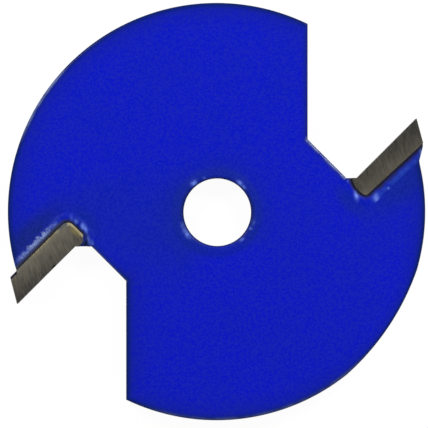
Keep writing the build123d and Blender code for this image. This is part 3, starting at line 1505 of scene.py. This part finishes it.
    def _shell(self, points: Array, upper: Array) -> bpy.types.Object:
        """Make the closed shell of the bead: its upper face, the same below, and walls between.

        Args:
            points: The net in the tip's plane.
            upper: The net's heights above the middle plane.

        Returns:
            The shell.
        """
        rows, columns = upper.shape
        bpy.ops.mesh.primitive_grid_add(
            x_subdivisions=columns - 1, y_subdivisions=2 * rows - 1, size=2
        )
        piece = bpy.context.object
        plan = self.wing.to_cutter(points)
        top, bottom = (np.concatenate([plan, z[..., None]], -1) for z in (upper, -upper))
        place_vertices(piece, np.concatenate([top, bottom[::-1]], 0).reshape(-1, 3))
        with editing(piece) as mesh:
            inner = (range(columns), range((2 * rows - 1) * columns, 2 * rows * columns))

            def on_inner_row(edge: bmesh.types.BMEdge) -> bool:
                """Say whether an edge is on the row inside the tip, above or below."""
                return any(all(v.index in row for v in edge.verts) for row in inner)

            select_where(piece, mesh.edges, on_inner_row)
            bpy.ops.mesh.bridge_edge_loops()
        with editing(piece) as mesh:
            select_where(piece, mesh.edges, lambda edge: edge.is_boundary)
            bpy.ops.mesh.edge_face_add()
            close_shell()
        return piece

    def _mask(self, piece: bpy.types.Object, net: BeadNet) -> None:
        """Say where the bead is frosted under a painted highlight, has painted glints, is darkened
        by painted shade in its groove, is dusty, and is darkened by painted edge shade.

        Args:
            piece: The bead's shell.
            net: The bead's net.
        """
        along, distance, shape = net.along, net.distance, net.distance.shape
        look, stops = self.look, self.wing.stops()
        places = vertex_places(piece)[: distance.size]
        flat = places[:, :2]
        ragged = ripple(places, look.lump_size, self.seed + 9, 4).reshape(shape)
        length, width = look.tuft_size
        combed = np.stack([along.ravel() / length, distance.ravel() / width, 0 * along.ravel()], 1)
        tufts = ripple(combed, 1.0, self.seed + 12, 4).reshape(shape)
        past_corner = along - stops[4]
        # At the front corner the painted groove shade gives way to painted edge shade
        front = self.front_edge_share * look.front_edge_corner.at(along - stops[2])
        edge = edge_shade(flat, self.wing.bulge(net.points).ravel()).reshape(shape)
        dark_from = self.dark_from * (look.dark_at_end + (1 - look.dark_at_end) * self._on_back(along))
        wavering = distance + look.dark_waver * ragged
        in_groove = look.dust_outer.at(distance) * look.dust_inner.at(distance)
        in_groove = in_groove * smooth(along, stops[3], stops[4] + look.dust_start)
        # Painted light in these masks: a highlight with the frost, glints, a sheen, shade in the
        # groove and shade at the edges
        masks = {
            "frost_and_highlight": self._frost_and_highlight(net, past_corner, ragged, tufts),
            "pale": all_spots(self.spots, flat).reshape(shape) * (1 + look.glint_waver * ragged),
            "sheen": self._sheen(net, past_corner, tufts),
            "shade_and_flux": (1 - front) * smooth(wavering, dark_from, self.dark_full),
            "dust": self.groove_dust * in_groove,
            "satin": np.ones(shape),
            "dull": self._dull(net, past_corner),
            "edge": edge + front * look.front_edge_reach.at(distance),
        }
        for name in BEAD_MASKS:
            values = masks[name]
            write_mask(piece, name, np.concatenate([values, values[::-1]], 0).ravel())

    def _frost_and_highlight(self, net: BeadNet, past_corner: Array, ragged: Array, tufts: Array) -> Array:
        """Return where the bead's crest is frosted under a painted highlight along the tip's back.

        Args:
            net: The bead's net.
            past_corner: How far along the contour past the tip's back corner each point is.
            ragged: Noise over the bead.
            tufts: Noise that is combed across the bead.

        Returns:
            One value for each point of the net.
        """
        look = self.look
        past_crest = net.distance - self._crest(net.along)
        outer = look.frost_past_crest.at(past_crest + look.frost_waver * tufts)
        inner = look.frost_before_crest.at(past_crest)
        on_back = sum(fade.at(past_corner) for fade in look.frost_past_corner)
        outwards = 1 - look.frost_outwards.at(past_corner)
        thin_spots = 1 - look.frost_gaps.share + look.frost_gaps.at(tufts + 0.5 * ragged)
        from_rim = look.frost_from_rim.at(net.inset)
        return self.frost_and_highlight * inner * outer * on_back * outwards * thin_spots * from_rim

    def _sheen(self, net: BeadNet, past_corner: Array, tufts: Array) -> Array:
        """Return where the bead shines along the tip's back, above its rough foot."""
        look, crest = self.look, self._crest(net.along)
        start = self.groove + look.sheen_past_groove
        band = smooth(net.distance, start, crest - look.sheen_before_crest)
        band = band * look.sheen_past_crest.at(net.distance - crest + look.sheen_waver * tufts)
        on_back = look.sheen_past_corner.at(past_corner)
        return self.sheen * band * on_back * (look.sheen_level + tufts)

    def _dull(self, net: BeadNet, past_corner: Array) -> Array:
        """Return where the bare strip is dull: at its corners, beside the tip and at the rim."""
        look, stops = self.look, self.wing.stops()
        past_middle = net.along - (stops[3] + stops[4]) / 2
        back_corner = look.dull_past_middle.at(past_middle) * look.dull_past_corner.at(past_corner)
        front_corner = look.dull_front_corner.at(net.along - stops[2])
        rim = look.dull_rim.at(past_corner)
        beside_tip = look.dull_beside_tip.at(net.distance)
        return reduce(np.maximum, (back_corner, front_corner, rim, beside_tip))

    def _bare_strip(self, piece: bpy.types.Object, along: Array) -> None:
        """Give the strip that was ground flush with the tip its bare alloy.

        Args:
            piece: The bead's shell.
            along: How far along the contour each point of the net is.
        """
        rows, columns = along.shape
        distance = np.linspace(self.inner, self.foot + self.hidden_foot, rows)
        bare_rows = int(np.sum(distance < self.ground_strip + 0.02))
        first_bare = int(np.sum(along[0] < self.wing.stops()[2] - 0.1))
        last_row = 2 * rows - 1
        for face in piece.data.polygons:
            if len(face.vertices) != 4 or min(i % columns for i in face.vertices) < first_bare:
                continue
            own = [i // columns for i in face.vertices]
            if max(own) < bare_rows or min(own) > last_row - bare_rows:
                face.material_index = 1

    def _add_heel(self, piece: bpy.types.Object) -> None:
        """Add the strip of braze that is left on the tip's back out beyond the rim."""
        wing = self.wing
        near, far = self.heel_overlap - wing.thickness, -wing.thickness - wing.heel_seam
        root = self.heel_root
        corners = [(wing.heel_x(near), near), (root, near), (root, far), (wing.heel_x(far), far)]
        outline = [Vector(point) for point in wing.to_cutter(np.array(corners))]
        heel = prism("heel", outline, 2 * PLAN.half_plate)
        # The heel strip is wholly darkened by the groove's painted shade
        for name in BEAD_MASKS:
            write_mask(heel, name, np.full(len(heel.data.vertices), float(name == "shade_and_flux")))
        heel.data.materials.append(self.finish)
        only(piece)
        heel.select_set(True)
        bpy.ops.object.join()


@dataclass(frozen=True)
class Lamp:
    """A soft square lamp, placed by its bearing round the bore and its height in the sky."""

    name: str
    bearing: float
    height: float
    energy: float
    size: float = 0.08
    distance: float = 0.32

    def hang(self) -> bpy.types.Object:
        """Hang the lamp so that it shines at the cutter's middle."""
        data = bpy.data.lights.new(self.name, "AREA")
        data.energy = self.energy
        data.size = self.size
        lamp = bpy.data.objects.new(self.name, data)
        bpy.context.scene.collection.objects.link(lamp)
        height = math.radians(self.height)
        flat = bearing(math.radians(self.bearing)) * math.cos(height)
        way = Vector((flat.x, flat.y, math.sin(height)))
        lamp.location = way * self.distance
        lamp.rotation_euler = way.to_track_quat("Z", "Y").to_euler()
        return lamp


@dataclass(frozen=True)
class Studio:
    """The plain pale stage: floor, lamps, sky and camera."""

    floor_size: float = 3.0
    floor_glow: float = 0.955
    floor_pale: Colour = (0.08, 0.08, 0.08, 1.0)
    floor_plain: Colour = (0.8, 0.8, 0.8, 1.0)
    low_sky: float = 0.75
    low_reflection: float = 0.42
    high_sky: float = 0.08
    horizon_top: float = math.sin(math.radians(20))
    dim_from: float = math.sin(math.radians(50))
    lens: float = 400.0
    sensor: float = 36.0
    picture: int = 428
    millimetres_per_pixel: float = 0.09376
    bore_pixel: tuple[float, float] = (217.28, 212.23)
    sight_level: float = 1.2

    def build(self) -> None:
        """Set the stage."""
        self._floor()
        self._sky()
        for lamp in (
            Lamp("key_lamp", 45, 50, 0.44),
            Lamp("side_lamp", 135, 50, 0.4),
            Lamp("low_lamp", 280, 24, 0.06, size=0.12),
        ):
            lamp.hang()
        self._camera()

    def _seen(self, bench: NodeBench) -> bpy.types.NodeSocket:
        """Return 1 for the rays that should meet a white background, and 0 for the rest."""
        path = bench.add("ShaderNodeLightPath").outputs
        return bench.sum("MAXIMUM", path["Is Camera Ray"], path["Is Transmission Ray"])

    def _floor(self) -> None:
        """Lay the floor under the tips, the lowest pieces."""
        lowest = min(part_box(f"{side.word}_carbide_tip")[0].z for side in Side)
        bpy.ops.mesh.primitive_plane_add(size=self.floor_size, location=(0, 0, lowest))
        floor = bpy.context.object
        floor.name = "floor"
        material, bench = blank_material("pale_floor")
        glow = bench.add("ShaderNodeEmission", {"Color": WHITE, "Strength": self.floor_glow})
        shade = bench.add("ShaderNodeBsdfDiffuse", {"Color": self.floor_pale})
        lit = bench.add("ShaderNodeAddShader", {0: glow.outputs[0], 1: shade.outputs[0]})
        plain = bench.add("ShaderNodeBsdfDiffuse", {"Color": self.floor_plain})
        shown = {0: self._seen(bench), 1: plain.outputs[0], 2: lit.outputs[0]}
        mixed = bench.add("ShaderNodeMixShader", shown)
        bench.add("ShaderNodeOutputMaterial", {"Surface": mixed.outputs[0]})
        floor.data.materials.append(material)

    def _sky(self) -> None:
        """Make a sky that is white to the camera, pale at the horizon and dim overhead."""
        world = bpy.data.worlds.new("studio_sky")
        bpy.context.scene.world = world
        world.use_nodes = True
        bench = NodeBench(world.node_tree)
        way = bench.add("ShaderNodeTexCoord").outputs["Generated"]
        height = bench.add("ShaderNodeSeparateXYZ", {0: way}).outputs[2]
        glossy = bench.add("ShaderNodeLightPath").outputs["Is Glossy Ray"]
        horizon = bench.step(glossy, 0, 1, self.low_sky, self.low_reflection)
        glow = bench.step(height, self.horizon_top, self.dim_from, horizon, self.high_sky)
        strength = bench.sum("MAXIMUM", glow, self._seen(bench))
        back = bench.add("ShaderNodeBackground", {"Color": WHITE, "Strength": strength})
        bench.add("ShaderNodeOutputWorld", {"Surface": back.outputs[0]})

    def _camera(self) -> None:
        """Look straight down on the cutter, as the picture does."""
        data = bpy.data.cameras.new("camera")
        data.lens = self.lens
        data.sensor_width = self.sensor
        camera = bpy.data.objects.new("camera", data)
        bpy.context.scene.collection.objects.link(camera)
        width = self.picture * self.millimetres_per_pixel
        away = width * self.lens / self.sensor
        middle = self.picture / 2
        x = (middle - self.bore_pixel[0]) * self.millimetres_per_pixel
        y = (self.bore_pixel[1] - middle) * self.millimetres_per_pixel
        camera.location = Vector((x, y, self.sight_level + away)) * MM
        bpy.context.scene.camera = camera


def main() -> None:
    """Build the cutter's pieces in order, dress them, and set the stage."""
    logging.basicConfig(level=logging.INFO, format="%(name)s: %(message)s")
    bpy.context.scene.view_settings.view_transform = "Standard"
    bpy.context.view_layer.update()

    lacquer = Lacquer().material()
    carbide = GroundMetal(
        "ground_carbide",
        dark=(0.12, 0.118, 0.11, 1),
        light=(0.4, 0.362, 0.285, 1),
        roughness=0.36,
    ).material()
    alloy = GroundMetal(
        "ground_braze",
        dark=(0.2, 0.185, 0.13, 1),
        light=(1.0, 0.88, 0.52, 1),
        roughness=0.38,
        outer=12.4 * MM,
        inner=11.2 * MM,
        back_share=0.05,
        inner_share=0.6,
    ).material()

    LacqueredBody(
        lacquer,
        # Painted glints round the bore's lip
        spots=(
            Spot(128.6, 3.51, 0.28, 0.2, 0.9),
            Spot(44, 3.42, 0.25, 0.13, 0.6),
            Spot(52, 3.47, 0.3, 0.16, 0.8),
            Spot(334, 3.5, 0.12, 0.12, 0.8),
            Spot(312, 3.46, 0.22, 0.1, 0.7),
            Spot(215, 3.5, 0.5, 0.2, 0.7),
            Spot(201, 3.5, 0.25, 0.15, 0.4),
            Spot(111, 3.43, 0.12, 0.12, 0.3),
            Spot(345, 3.55, 0.3, 0.12, 0.25),
        ),
    ).build()
    BrazeBead(
        RIGHT_WING,
        lacquer,
        alloy,
        groove=0.14,
        groove_depth=0.05,
        crest=0.72,
        end_crest=0.5,
        crest_height=0.035,
        foot=1.12,
        ground_strip=0.0,
        dark_from=0.64,
        dark_full=0.04,
        roughness=0.006,
        # Painted glints, each on a small lump of the bead
        spots=(
            Spot(6.95, 13.15, 0.4, 0.18, 1.0),
            Spot(5.3, 14.97, 0.34, 0.23, 0.88),
            Spot(7.97, 16.2, 0.1, 0.1, 0.6),
            Spot(13.3, 12.6, 0.15, 0.09, 0.4),
            Spot(16.9, 19.95, 0.5, 0.15, 0.75),
        ),
        sheen=0.5,
        frost_and_highlight=0.0,
        groove_dust=0.0,
        seed=2.3,
    ).build()
    BrazeBead(
        LEFT_WING,
        lacquer,
        alloy,
        groove=0.3,
        groove_depth=0.08,
        crest=0.75,
        end_crest=0.78,
        crest_height=0.1,
        foot=1.35,
        ground_strip=0.245,
        dark_from=0.72,
        dark_full=0.31,
        roughness=0.03,
        # Painted glints, each on a small lump of the bead
        spots=(
            Spot(186.2, 12.69, 0.3, 0.18, 0.9),
            Spot(187.7, 12.44, 0.3, 0.14, 0.65),
            Spot(183.9, 13.29, 0.22, 0.17, 0.5),
            Spot(182.9, 13.7, 0.4, 0.15, 0.25),
            Spot(192.1, 12.33, 0.5, 0.15, 0.4),
            Spot(194.1, 12.06, 0.3, 0.12, 0.3),
        ),
        sheen=0.5,
        frost_and_highlight=1.0,
        groove_dust=0.36,
        front_edge_share=0.7,
        spacing=0.054,
        seed=6.1,
    ).build()
    for side in Side:
        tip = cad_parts[f"{side.word}_carbide_tip"]
        tip.data.materials.clear()
        tip.data.materials.append(carbide)
        log.info("%s: kept as packed", tip.name)

    Studio().build()


if __name__ == "__main__":
    main()
